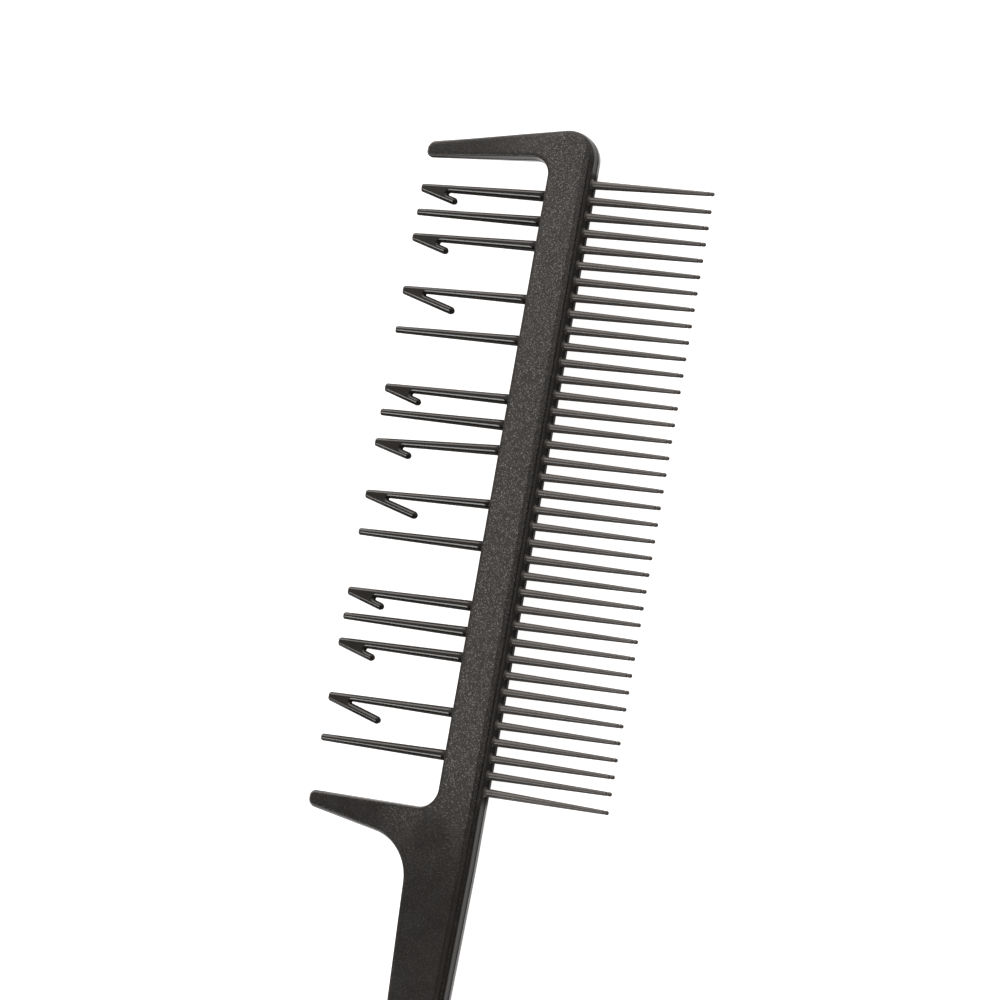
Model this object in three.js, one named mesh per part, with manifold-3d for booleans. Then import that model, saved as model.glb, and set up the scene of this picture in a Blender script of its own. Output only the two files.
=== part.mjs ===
// Double-sided tail comb for sectioning and highlighting hair, in millimetres, lying flat with +Z up.
// It runs along Y with the head at +Y and the tail at -Y. The hooked teeth point to -X and the
// fine teeth to +X. The real comb is one plastic moulding; each functional piece is its own mesh.
import * as THREE from "three";
import Module from "manifold-3d";

const wasm = await Module();
wasm.setup();

// ---- Driving dimensions, measured from the middle of the spine at the middle of the tooth rows ----
const SPINE_LEFT = -4.0; // wall that carries the hooks and pins
const SPINE_RIGHT = 4.1; // wall that carries the fine teeth
const FACE_HALF_THICKNESS = 1.8; // middle of the spine, from the parting plane to the face
const EDGE_CHAMFER = 0.32;
const CHAMFER_OVERRUN = 0.06; // each chamfer is cut a little past the face it breaks
const HEAD_TOP_Y = 62.7;
const HEAD_CORNER_RADIUS = 5.1;
const OVERALL_LENGTH = 235;
const LEFT_REACH = 27.7; // tips of the hooks, pins and guards
const SECTION_CUT_Y = 54.4; // the spine ends here, towards the head and towards the tail
const TAIL_CUT_Y = -64;

// Guards: the stout end teeth on the hooked side.
const GUARD_TIP_RADIUS = 0.85;
const UPPER_GUARD_EDGE_SLOPE = 0.15; // outer edge, rising towards the spine
const UPPER_GUARD_INNER = { tipY: 56.3, rootY: 57.65, fillet: 3.2 };
const LOWER_GUARD_INNER_Y = -57.9;
const LOWER_GUARD_FILLET = 3.5;
const LOWER_GUARD_OUTER = { tipY: -60.25, slope: -0.196 };
const SHOULDER_RADIUS = 8.7; // concave sweep from the lower guard into the tail

// Tail handle
const TAIL_START_LEFT = { x: -7.8, lean: 0.0457 };
const TAIL_START_RIGHT = { y: -66, lean: 0.0175 };
const TAIL_GUIDE_DROP = 50; // each side starts along a straight line of this length, then bends
const TAIL_END_X = -0.45;
const TAIL_END_RADIUS = 1.6;
const TAIL_THIN_FROM_Y = -80;
const TAIL_END_HALF_THICKNESS = 1.2;

// Cross-section of the flat body: half thickness at each distance across the comb.
const FACE_PROFILE = [
  [-30, 0.6],
  [-10, 1.57],
  [-2, FACE_HALF_THICKNESS],
  [1.7, FACE_HALF_THICKNESS],
  [SPINE_RIGHT + 1, 1.37],
];

// Fine teeth
const FINE_COUNT = 38;
const FINE_PITCH = 2.9;
const FINE_LENGTH = 22.35;
const FINE_CORNER_CUT = 0.58; // share of each half width cut away to make the section an octagon
const FINE_END_SPLAY = 0.27; // the first and last teeth lean outwards by this much at the tip
// Sections from root to tip: distance from the spine, half width, half thickness. The root
// flares into the spine, and a slight neck behind the tip makes a small ball.
const FINE_SECTIONS = [
  [0, 0.95, 1.2],
  [0.2, 0.8, 1.1],
  [0.6, 0.7, 1.05],
  [11, 0.53, 0.78],
  [20.6, 0.36, 0.44],
  [21.5, 0.3, 0.34],
  [21.85, 0.34, 0.36],
  [22.15, 0.29, 0.3],
  [FINE_LENGTH, 0.13, 0.14],
];

// Teeth of the hooked side, in groups of five that repeat along the spine.
const GROUP_COUNT = 3;
const GROUP_PITCH = 36.6;
const FIRST_TOOTH_Y = 50.9;
const GROUP = [
  { kind: "short_hook", down: 0 },
  { kind: "pin", down: 4.6 },
  { kind: "short_hook", down: 9.05 },
  { kind: "long_hook", down: 18.65 },
  { kind: "pin", down: 26.1 },
];
// Sideways lean at the tip, towards the tail: each group's own, and two teeth that lean more.
const GROUP_LEAN = [0.26, 0.12, 0.05];
const LEANING = { 8: 0.95, 9: 0.6 };

const TOOTH_LENGTH = LEFT_REACH + SPINE_LEFT;
const TOOTH_ROOT_HALF_THICKNESS = 1.25;
const TOOTH_TIP_HALF_THICKNESS = 0.7;
const PIN = { rootHalfWidth: 0.81, tipHalfWidth: 0.49, rootChamfer: 0.42, tipChamfer: 0.27 };
// Rounding of a pin's end: how far before the tip, and how much of its chamfer is taken up.
const PIN_END = [
  [0.35, 0],
  [0.1, 0.35],
  [0, 0.75],
];
const PIN_END_SHRINK = 0.3;
const HOOK_CHAMFER = 0.3;
const HOOK_TIP_RADIUS = 0.4;
const BARB_SLOPE = 0.305; // how fast a barb leaves its shank, going back towards the spine
const HOOKS = {
  short_hook: {
    rootUpper: 0.8,
    tipUpper: 0.46,
    rootLower: 0.8,
    notchLower: 0.6,
    tipLower: 0.72,
    barbWidth: 1.01,
    barbReach: 6.8,
    notchRadius: 0.36,
  },
  long_hook: {
    rootUpper: 0.72,
    tipUpper: 0.42,
    rootLower: 0.74,
    notchLower: 0.5,
    tipLower: 0.82,
    barbWidth: 1.1,
    barbReach: 9.95,
    notchRadius: 0.27,
  },
};

const FACE_FINISH = { color: "#302e2d", roughness: 0.55, metalness: 0 };
const TOOTH_FINISH = { color: "#2b2928", roughness: 0.36, metalness: 0 };

// ---- Plane outlines ----
const v2 = (x, y) => new THREE.Vector2(x, y);

// Points on a circle from one angle to another, ends included.
function arc(centre, radius, from, to, steps) {
  const points = [];
  for (let i = 0; i <= steps; i++) {
    const a = from + ((to - from) * i) / steps;
    points.push(v2(centre.x + radius * Math.cos(a), centre.y + radius * Math.sin(a)));
  }
  return points;
}

// The arc of a given radius that rounds the corner at b between the lines a-b and b-c.
function roundCorner(a, b, c, radius, steps) {
  const toA = a.clone().sub(b).normalize();
  const toC = c.clone().sub(b).normalize();
  const half = Math.acos(THREE.MathUtils.clamp(toA.dot(toC), -1, 1)) / 2;
  const centre = toA.clone().add(toC).normalize().multiplyScalar(radius / Math.sin(half)).add(b);
  const start = toA.multiplyScalar(radius / Math.tan(half)).add(b).sub(centre);
  const end = toC.multiplyScalar(radius / Math.tan(half)).add(b).sub(centre);
  let sweep = end.angle() - start.angle();
  if (sweep > Math.PI) sweep -= 2 * Math.PI;
  if (sweep < -Math.PI) sweep += 2 * Math.PI;
  return arc(centre, radius, start.angle(), start.angle() + sweep, steps);
}

// Extra points along the long straight stretches of a closed outline.
function subdivide(points, longest) {
  const out = [];
  points.forEach((p, i) => {
    const q = points[(i + 1) % points.length];
    const parts = Math.max(1, Math.ceil(p.distanceTo(q) / longest));
    for (let k = 0; k < parts; k++) out.push(p.clone().lerp(q, k / parts));
  });
  return out;
}

// Each point's step inwards for a unit inset of a counter-clockwise outline. Along the root
// line, where a tooth meets the spine, points only slide along that line.
function insetSteps(points, rootX = null) {
  const n = points.length;
  const onRoot = (p) => rootX !== null && Math.abs(p.x - rootX) < 1e-6;
  return points.map((p, i) => {
    const before = points[(i + n - 1) % n];
    const after = points[(i + 1) % n];
    const d1 = p.clone().sub(before).normalize();
    const d2 = after.clone().sub(p).normalize();
    const n1 = v2(-d1.y, d1.x);
    const n2 = v2(-d2.y, d2.x);
    if (onRoot(p)) {
      const free = onRoot(before) ? n2 : n1;
      return v2(0, 1 / free.y);
    }
    const mid = n1.clone().add(n2).normalize();
    return mid.multiplyScalar(1 / Math.max(0.35, mid.dot(n1)));
  });
}

// ---- Solids from rings of points ----
// Rings of equal length, each further along than the last, joined by quads and capped.
function ringGeometry(rings, capIndices) {
  const positions = [];
  const indices = [];
  const n = rings[0].length;
  rings.forEach((ring) => ring.forEach((p) => positions.push(p.x, p.y, p.z)));
  for (let r = 0; r + 1 < rings.length; r++) {
    for (let i = 0; i < n; i++) {
      const j = (i + 1) % n;
      const a = r * n + i;
      const b = r * n + j;
      const c = (r + 1) * n + j;
      const d = (r + 1) * n + i;
      indices.push(a, b, c, a, c, d);
    }
  }
  const last = (rings.length - 1) * n;
  capIndices.forEach(([a, b, c]) => {
    indices.push(a, c, b);
    indices.push(last + a, last + b, last + c);
  });
  const geometry = new THREE.BufferGeometry();
  geometry.setAttribute("position", new THREE.Float32BufferAttribute(positions, 3));
  geometry.setIndex(indices);
  return geometry;
}

// A flat plate from its outline: each level gives the inset and the height at each point.
function plateGeometry(outline, levels, rootX = null) {
  const steps = insetSteps(outline, rootX);
  const rings = levels.map(({ inset, height }) =>
    outline.map((p, i) => {
      const q = p.clone().addScaledVector(steps[i], inset);
      return new THREE.Vector3(q.x, q.y, height(q));
    }),
  );
  const top = rings[rings.length - 1].map((p) => v2(p.x, p.y));
  return ringGeometry(rings, THREE.ShapeUtils.triangulateShape(top, []));
}

// A tooth that runs along +X through octagonal sections. Each section gives its place x, its
// sideways shift y, its half width and half height, and how far its corners are cut back.
function toothGeometry(sections) {
  const rings = sections.map(({ x, y = 0, width, height, cutWidth, cutHeight }) => {
    const w = width - cutWidth;
    const h = height - cutHeight;
    const corners = [
      [width, -h],
      [width, h],
      [w, height],
      [-w, height],
      [-width, h],
      [-width, -h],
      [-w, -height],
      [w, -height],
    ];
    return corners.map(([a, b]) => new THREE.Vector3(x, y + a, b));
  });
  const cap = [];
  for (let i = 1; i < 7; i++) cap.push([0, i, i + 1]);
  return ringGeometry(rings, cap);
}

// ---- Closed solids and booleans ----
function toSolid(geometry) {
  const { position } = geometry.attributes;
  const mesh = new wasm.Mesh({
    numProp: 3,
    vertProperties: Float32Array.from(position.array),
    triVerts: Uint32Array.from(geometry.index.array),
  });
  mesh.merge();
  return new wasm.Manifold(mesh);
}

function toGeometry(solid) {
  const { vertProperties, triVerts, numProp } = solid.getMesh();
  const positions = new Float32Array((vertProperties.length / numProp) * 3);
  for (let i = 0; i < positions.length / 3; i++) {
    for (let k = 0; k < 3; k++) positions[i * 3 + k] = vertProperties[i * numProp + k];
  }
  const geometry = new THREE.BufferGeometry();
  geometry.setAttribute("position", new THREE.BufferAttribute(positions, 3));
  geometry.setIndex(new THREE.BufferAttribute(Uint32Array.from(triVerts), 1));
  return geometry;
}

// A straight prism from a counter-clockwise outline, running from z = from to z = to.
function prism(points, from, to) {
  const level = (z) => ({ inset: 0, height: () => z });
  return plateGeometry(points, [level(from), level(to)]);
}

// ---- Outline of the flat body: head, spine and tail in one loop, counter-clockwise ----
function bodyOutline() {
  const tailEndY = HEAD_TOP_Y - OVERALL_LENGTH;
  const capY = tailEndY + TAIL_END_RADIUS;
  const tailEnd = v2(TAIL_END_X, capY);

  // Right edge of the tail, going down from the spine to the rounded end.
  const rightTop = v2(SPINE_RIGHT, TAIL_START_RIGHT.y);
  const rightEnd = v2(TAIL_END_X + TAIL_END_RADIUS, capY);
  const rightCurve = new THREE.QuadraticBezierCurve(
    rightTop,
    v2(
      SPINE_RIGHT - TAIL_GUIDE_DROP * TAIL_START_RIGHT.lean,
      TAIL_START_RIGHT.y - TAIL_GUIDE_DROP,
    ),
    rightEnd,
  );

  // Left edge of the tail and the sweep into the lower guard.
  const guardCorner = v2(-LEFT_REACH, LOWER_GUARD_OUTER.tipY);
  const outerAt = (x) =>
    v2(x, LOWER_GUARD_OUTER.tipY + LOWER_GUARD_OUTER.slope * (x + LEFT_REACH));
  const crossing = outerAt(TAIL_START_LEFT.x);
  const leftLow = v2(
    TAIL_START_LEFT.x + TAIL_GUIDE_DROP * TAIL_START_LEFT.lean,
    crossing.y - TAIL_GUIDE_DROP,
  );
  const sweep = roundCorner(guardCorner, crossing, leftLow, SHOULDER_RADIUS, 12);
  const leftStart = sweep[sweep.length - 1];
  const leftEnd = v2(TAIL_END_X - TAIL_END_RADIUS, capY);
  const leftCurve = new THREE.QuadraticBezierCurve(leftStart, leftLow, leftEnd);

  // Lower guard: blunt tip and fillet into the spine.
  const lowerInnerTip = v2(-LEFT_REACH, LOWER_GUARD_INNER_Y);
  const lowerInnerRoot = v2(SPINE_LEFT, LOWER_GUARD_INNER_Y);
  const spineMiddle = v2(SPINE_LEFT, 0);
  const lowerTip = [
    ...roundCorner(crossing, guardCorner, lowerInnerTip, GUARD_TIP_RADIUS, 4),
    ...roundCorner(guardCorner, lowerInnerTip, lowerInnerRoot, GUARD_TIP_RADIUS, 4),
  ];
  const lowerFillet = roundCorner(
    lowerInnerTip,
    lowerInnerRoot,
    spineMiddle,
    LOWER_GUARD_FILLET,
    8,
  );

  // Upper guard and the head's rounded corner.
  const cornerCentre = v2(SPINE_RIGHT - HEAD_CORNER_RADIUS, HEAD_TOP_Y - HEAD_CORNER_RADIUS);
  const tangent = Math.PI / 2 + Math.atan(UPPER_GUARD_EDGE_SLOPE);
  const corner = arc(cornerCentre, HEAD_CORNER_RADIUS, 0, tangent, 12);
  const crown = corner[corner.length - 1];
  const upperOuterTip = v2(
    -LEFT_REACH,
    crown.y - UPPER_GUARD_EDGE_SLOPE * (crown.x + LEFT_REACH),
  );
  const upperInnerTip = v2(-LEFT_REACH, UPPER_GUARD_INNER.tipY);
  const upperInnerRoot = v2(SPINE_LEFT, UPPER_GUARD_INNER.rootY);
  const upperTip = [
    ...roundCorner(crown, upperOuterTip, upperInnerTip, GUARD_TIP_RADIUS, 4),
    ...roundCorner(upperOuterTip, upperInnerTip, upperInnerRoot, GUARD_TIP_RADIUS, 4),
  ];
  const upperFillet = roundCorner(
    upperInnerTip,
    upperInnerRoot,
    spineMiddle,
    UPPER_GUARD_INNER.fillet,
    8,
  );

  return [
    ...corner,
    ...upperTip,
    ...upperFillet,
    ...lowerFillet.reverse(),
    ...lowerTip.reverse(),
    ...sweep,
    ...leftCurve.getPoints(16).slice(1, -1),
    ...arc(tailEnd, TAIL_END_RADIUS, Math.PI, 2 * Math.PI, 10),
    ...rightCurve.getPoints(16).reverse().slice(1),
  ];
}

// Half thickness of the body at a point of its outline, before the tail thins.
function faceHeight(x) {
  for (let i = 1; i < FACE_PROFILE.length; i++) {
    const [x0, z0] = FACE_PROFILE[i - 1];
    const [x1, z1] = FACE_PROFILE[i];
    if (x <= x1) return THREE.MathUtils.mapLinear(x, x0, x1, z0, z1);
  }
  return FACE_PROFILE[FACE_PROFILE.length - 1][1];
}

const TAIL_END_Y = HEAD_TOP_Y - OVERALL_LENGTH;
function tailHeight(y) {
  const z = THREE.MathUtils.mapLinear(
    y,
    TAIL_END_Y,
    TAIL_THIN_FROM_Y,
    TAIL_END_HALF_THICKNESS,
    FACE_HALF_THICKNESS,
  );
  return Math.min(FACE_HALF_THICKNESS, z);
}

// The whole body: vertical walls, chamfered edges, faces that fall away to the sides.
function bodySolid() {
  const outline = subdivide(bodyOutline(), 6);
  const over = CHAMFER_OVERRUN;
  const face = (p) => Math.min(faceHeight(p.x), tailHeight(p.y));
  const clear = FACE_HALF_THICKNESS + 1;
  const plate = toSolid(
    plateGeometry(outline, [
      { inset: EDGE_CHAMFER + over, height: () => -clear },
      { inset: EDGE_CHAMFER + over, height: (p) => -face(p) - over },
      { inset: 0, height: (p) => -face(p) + EDGE_CHAMFER },
      { inset: 0, height: (p) => face(p) - EDGE_CHAMFER },
      { inset: EDGE_CHAMFER + over, height: (p) => face(p) + over },
      { inset: EDGE_CHAMFER + over, height: () => clear },
    ]),
  );
  const across = [
    ...FACE_PROFILE.map(([x, z]) => v2(x, -z)),
    ...FACE_PROFILE.map(([x, z]) => v2(x, z)).reverse(),
  ];
  const acrossPrism = prism(across, -80, 200).rotateX(Math.PI / 2);
  const along = [
    v2(TAIL_END_Y - 5, -tailHeight(TAIL_END_Y - 5)),
    v2(TAIL_THIN_FROM_Y, -FACE_HALF_THICKNESS),
    v2(80, -FACE_HALF_THICKNESS),
    v2(80, FACE_HALF_THICKNESS),
    v2(TAIL_THIN_FROM_Y, FACE_HALF_THICKNESS),
    v2(TAIL_END_Y - 5, tailHeight(TAIL_END_Y - 5)),
  ];
  const turn = new THREE.Matrix4().makeBasis(
    new THREE.Vector3(0, 1, 0),
    new THREE.Vector3(0, 0, 1),
    new THREE.Vector3(1, 0, 0),
  );
  const alongPrism = prism(along, -40, 40).applyMatrix4(turn);
  return plate.intersect(toSolid(acrossPrism)).intersect(toSolid(alongPrism));
}

// The stretch of the body between two heights along Y.
function stretch(body, fromY, toY) {
  const box = prism([v2(-60, fromY), v2(60, fromY), v2(60, toY), v2(-60, toY)], -10, 10);
  return toGeometry(body.intersect(toSolid(box)));
}

// ---- Teeth, each along +X from its root at x = 0 ----
function fineTooth(splay) {
  return toothGeometry(
    FINE_SECTIONS.map(([x, width, height]) => ({
      x,
      y: (splay * x) / FINE_LENGTH,
      width,
      height,
      cutWidth: FINE_CORNER_CUT * width,
      cutHeight: FINE_CORNER_CUT * height,
    })),
  );
}

function pinTooth(lean) {
  const { rootHalfWidth, tipHalfWidth, rootChamfer, tipChamfer } = PIN;
  const at = (x, shrink = 0) => {
    const t = x / TOOTH_LENGTH;
    const thickness = THREE.MathUtils.lerp(
      TOOTH_ROOT_HALF_THICKNESS,
      TOOTH_TIP_HALF_THICKNESS,
      t,
    );
    const cut = THREE.MathUtils.lerp(rootChamfer, tipChamfer, t) * (1 - shrink);
    return {
      x,
      y: lean * t,
      width: THREE.MathUtils.lerp(rootHalfWidth, tipHalfWidth, t) - PIN_END_SHRINK * shrink,
      height: thickness - PIN_END_SHRINK * shrink,
      cutWidth: cut,
      cutHeight: cut,
    };
  };
  const end = PIN_END.map(([before, shrink]) => at(TOOTH_LENGTH - before, shrink));
  return toothGeometry([at(0), at(TOOTH_LENGTH / 2), ...end]);
}

// A hook: a shank, a blunt tip, and a barb that runs back along the shank's +Y side.
function hookTooth(shape, lean) {
  const L = TOOTH_LENGTH;
  const upperRoot = v2(0, -shape.rootUpper);
  const upperTip = v2(L, -shape.tipUpper);
  const lowerTip = v2(L, shape.tipLower);
  const back = v2(-1, BARB_SLOPE).normalize();
  const inward = v2(back.y, -back.x).negate();
  const run = shape.barbReach / -back.x;
  const barbEnd = lowerTip.clone().addScaledVector(back, run - shape.barbWidth / 2);
  const endCentre = barbEnd.clone().addScaledVector(inward, shape.barbWidth / 2);
  const innerEnd = barbEnd.clone().addScaledVector(inward, shape.barbWidth);
  const lowerRoot = v2(0, shape.rootLower);
  const shankAt = (x) =>
    v2(x, THREE.MathUtils.lerp(shape.rootLower, shape.notchLower, x / (L - 5)));

  // Where the barb's inner edge would meet the shank's lower edge.
  const s0 = shankAt(0);
  const s1 = shankAt(L);
  const shankDir = s1.clone().sub(s0);
  const gap = s0.clone().sub(innerEnd);
  const cross = back.x * shankDir.y - back.y * shankDir.x;
  const k = (gap.x * shankDir.y - gap.y * shankDir.x) / cross;
  const notch = innerEnd.clone().addScaledVector(back, k);

  const endFrom = inward.clone().negate().angle();
  const outline = [
    upperRoot,
    ...roundCorner(upperRoot, upperTip, lowerTip, HOOK_TIP_RADIUS, 4),
    ...roundCorner(upperTip, lowerTip, barbEnd, HOOK_TIP_RADIUS, 4),
    ...arc(endCentre, shape.barbWidth / 2, endFrom, endFrom + Math.PI, 8),
    ...roundCorner(innerEnd, notch, lowerRoot, shape.notchRadius, 6),
    lowerRoot,
  ];
  outline.forEach((p) => {
    p.y += (lean * p.x) / L;
  });
  const full = (p) =>
    THREE.MathUtils.lerp(TOOTH_ROOT_HALF_THICKNESS, TOOTH_TIP_HALF_THICKNESS, p.x / L);
  return plateGeometry(
    outline,
    [
      { inset: HOOK_CHAMFER, height: (p) => -full(p) },
      { inset: 0, height: (p) => -full(p) + HOOK_CHAMFER },
      { inset: 0, height: (p) => full(p) - HOOK_CHAMFER },
      { inset: HOOK_CHAMFER, height: (p) => full(p) },
    ],
    0,
  );
}

// ---- Assembly ----
const part = new THREE.Group();
part.name = "hair_comb";

// The comb's frame has its origin under the middle of its bounding box, on the surface it lies on.
const comb = new THREE.Group();
comb.name = "comb";
comb.position.set(
  (LEFT_REACH - SPINE_RIGHT - FINE_LENGTH) / 2,
  OVERALL_LENGTH / 2 - HEAD_TOP_Y,
  FACE_HALF_THICKNESS,
);
part.add(comb);

function addNode(group, name, geometry, finish) {
  const flat = geometry.index ? geometry.toNonIndexed() : geometry;
  flat.computeVertexNormals();
  const mesh = new THREE.Mesh(flat, new THREE.MeshStandardMaterial(finish));
  mesh.name = name;
  group.add(mesh);
  return mesh;
}

const body = bodySolid();
addNode(comb, "upper_guard", stretch(body, SECTION_CUT_Y, 80), FACE_FINISH);
addNode(comb, "spine", stretch(body, -SECTION_CUT_Y, SECTION_CUT_Y), FACE_FINISH);
addNode(comb, "lower_guard", stretch(body, TAIL_CUT_Y, -SECTION_CUT_Y), FACE_FINISH);
addNode(comb, "tail_handle", stretch(body, -200, TAIL_CUT_Y), FACE_FINISH);

const hookedSide = new THREE.Group();
hookedSide.name = "hooked_side";
comb.add(hookedSide);
let number = 0;
for (let g = 0; g < GROUP_COUNT; g++) {
  for (const { kind, down } of GROUP) {
    number += 1;
    const lean = LEANING[number] ?? GROUP_LEAN[g];
    const geometry = kind === "pin" ? pinTooth(lean) : hookTooth(HOOKS[kind], lean);
    const name = kind + "_" + String(number).padStart(2, "0");
    const mesh = addNode(hookedSide, name, geometry, TOOTH_FINISH);
    mesh.position.set(SPINE_LEFT, FIRST_TOOTH_Y - g * GROUP_PITCH - down, 0);
    mesh.rotation.z = Math.PI;
  }
}

const fineSide = new THREE.Group();
fineSide.name = "fine_side";
comb.add(fineSide);
for (let i = 0; i < FINE_COUNT; i++) {
  const outer = i === 0 ? 1 : i === FINE_COUNT - 1 ? -1 : 0;
  const name = "fine_tooth_" + String(i + 1).padStart(2, "0");
  const mesh = addNode(fineSide, name, fineTooth(outer * FINE_END_SPLAY), TOOTH_FINISH);
  mesh.position.set(SPINE_RIGHT, ((FINE_COUNT - 1) / 2 - i) * FINE_PITCH, 0);
}

export default part;
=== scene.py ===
"""Double-sided tail comb in black plastic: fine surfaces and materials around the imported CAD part.

Shapes are worked out in millimetres from the middle of the spine, in the comb's own axes: the head
is at +Y, the tail at -Y, the hooked teeth point to -X, the fine teeth to +X, and Z = 0 is the plane
where the two halves of the mould met. point() turns them into metres in the shared frame.
"""

import math

import bmesh
import bpy
from mathutils import Euler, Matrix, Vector


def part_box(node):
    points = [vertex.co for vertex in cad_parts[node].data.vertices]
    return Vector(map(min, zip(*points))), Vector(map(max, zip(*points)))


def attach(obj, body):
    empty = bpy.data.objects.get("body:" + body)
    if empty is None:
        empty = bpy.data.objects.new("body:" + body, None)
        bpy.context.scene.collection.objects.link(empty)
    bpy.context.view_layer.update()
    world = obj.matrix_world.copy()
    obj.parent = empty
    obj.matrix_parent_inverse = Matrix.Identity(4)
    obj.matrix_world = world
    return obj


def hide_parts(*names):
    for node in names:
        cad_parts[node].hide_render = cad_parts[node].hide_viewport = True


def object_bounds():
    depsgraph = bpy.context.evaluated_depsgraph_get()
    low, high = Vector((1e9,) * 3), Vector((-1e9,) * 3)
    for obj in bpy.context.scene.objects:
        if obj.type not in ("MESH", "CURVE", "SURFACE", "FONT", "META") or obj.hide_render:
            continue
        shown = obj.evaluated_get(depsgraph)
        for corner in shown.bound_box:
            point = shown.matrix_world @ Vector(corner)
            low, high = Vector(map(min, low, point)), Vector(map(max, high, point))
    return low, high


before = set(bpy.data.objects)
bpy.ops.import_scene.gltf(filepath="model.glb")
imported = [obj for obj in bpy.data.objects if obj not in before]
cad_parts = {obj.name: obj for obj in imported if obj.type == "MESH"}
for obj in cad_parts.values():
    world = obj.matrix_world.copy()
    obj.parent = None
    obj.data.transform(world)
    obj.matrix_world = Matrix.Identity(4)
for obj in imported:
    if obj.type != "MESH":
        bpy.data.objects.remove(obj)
cad_box = [list(corner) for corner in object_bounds()]

# ---- Driving dimensions, in millimetres ----
SPINE_LEFT = -4.0
SPINE_RIGHT = 4.1
FACE_HALF_THICKNESS = 1.8
HEAD_TOP_Y = 62.7
HEAD_CORNER_RADIUS = 5.1
OVERALL_LENGTH = 235.0
LEFT_REACH = 27.7

GUARD_TIP_RADIUS = {"outer": 1.35, "inner": 0.88}
UPPER_GUARD_EDGE_SLOPE = 0.15
UPPER_GUARD_INNER = {"tip_y": 56.3, "root_y": 57.65, "fillet": 3.2}
LOWER_GUARD_INNER_Y = -57.9
LOWER_GUARD_FILLET = 3.5
LOWER_GUARD_OUTER = {"tip_y": -60.25, "slope": -0.196}
SHOULDER_RADIUS = 8.7

TAIL_START_LEFT = {"x": -7.8, "lean": 0.0457}
TAIL_START_RIGHT = {"y": -66.0, "lean": 0.0175}
TAIL_GUIDE_DROP = 50.0
TAIL_END_X = -0.45
TAIL_END_RADIUS = 1.6
TAIL_THIN_FROM_Y = -80.0
TAIL_END_HALF_THICKNESS = 1.2

# Half thickness of the body across the comb: guards thin out to the left. On the right the grained
# face ends in a small step down to a smooth margin, which rolls over into the wall.
FACE_PROFILE = [
    (-30.0, 0.6),
    (-10.0, 1.57),
    (-2.0, 1.8),
    (2.12, 1.8),
    (2.2, 1.793),
    (2.42, 1.745),
    (2.5, 1.74),
    (3.2, 1.69),
    (5.1, 1.5),
]
STEP_X = 2.3  # middle of the step
# Where the face's mesh is cut, closely spaced at the step.
FACE_CUTS_X = [-24.0, -20.0, -16.0, -12.0, -10.5, -9.5, -8.0, -6.0, -4.5, -3.0, -2.4, -1.6, 0.0]
FACE_CUTS_X += [1.2, 1.9, 2.06, 2.13, 2.2, 2.27, 2.34, 2.41, 2.48, 2.56, 2.8, 3.05]
FACE_CUTS_Y = [-170 + 2.5 * k for k in range(94)]
TEETH_SPAN = 55.5  # the fine teeth stand on the wall this far both ways from the spine's middle
GRAIN_FADE = {"guards": (-17.0, -4.0), "tail": (-73.0, -45.0)}  # grain weakens away from the spine
FAINT_GRAIN = {"guards": 0.15, "tail": 0.13}
# A faint round mark where an ejector pin pushed the moulding out; its fade is in metres.
EJECTOR_MARK = {"centre": (-4.0, -62.1, 1.7), "fade": (0.002, 0.0046), "grain": 0.55}
MARGIN_GRAIN = 0.35  # how much of the face's grain is on the margin, and on the rounded edges
EDGE_GRAIN = 0.25
EDGE_RADIUS = 0.3  # rounding between a face and a wall
MARGIN_RADIUS = {"upper": 0.84, "under": 0.22}  # the same along the fine-toothed side
FACE_INSET = 0.8  # the rings of the rounded edge start this far inside the outline
DRAFT = {"upper": 0.2, "under": 0.06}  # how far the walls lean out toward the parting line
PARTING_HALF_HEIGHT = 0.26
PARTING_DEPTH = 0.2

FINE_COUNT = 38
FINE_LENGTH = 22.35
FINE_END_SPLAY = 0.27
FINE_ROOT = {"half_width": 0.72, "half_height": 1.06, "flare": 0.5}
FINE_TIP = {"half_width": 0.36, "half_height": 0.44}
FINE_SQUARENESS = 0.9  # exponent of the section: 1 is an ellipse, less is boxier
FINE_BALL_RADIUS = 0.36
FINE_NECK = {"before_tip": 0.82, "shrink": 0.07, "reach": 0.16}

GROUP_LEAN = [0.26, 0.12, 0.05]
LEANING = {8: 0.95, 9: 0.6}
TOOTH_LENGTH = LEFT_REACH + SPINE_LEFT
TOOTH_ROOT_HALF_THICKNESS = 1.25
TOOTH_TIP_HALF_THICKNESS = 0.7
PIN = {"root_half_width": 0.81, "tip_half_width": 0.49, "tip_radius": 0.3}
TOOTH_BEVEL = {"root": 0.52, "tip": 0.36}
# Section of a hooked-side tooth, from its middle outwards: share of the bevel's width inside the
# outline, and drop below the flat top, again as a share of that width. A narrow shallow facet
# lies between the flat top and the bevel.
BEVEL_SECTION = [(1.1, 0.0), (1.0, 0.0), (0.97, 0.01), (0.6, 0.15), (0.56, 0.175)]
BEVEL_SECTION += [(0.52, 0.21), (0.08, 0.64), (0.02, 0.71), (0.0, 0.8)]
TOOTH_DRAFT = 0.1
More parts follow.
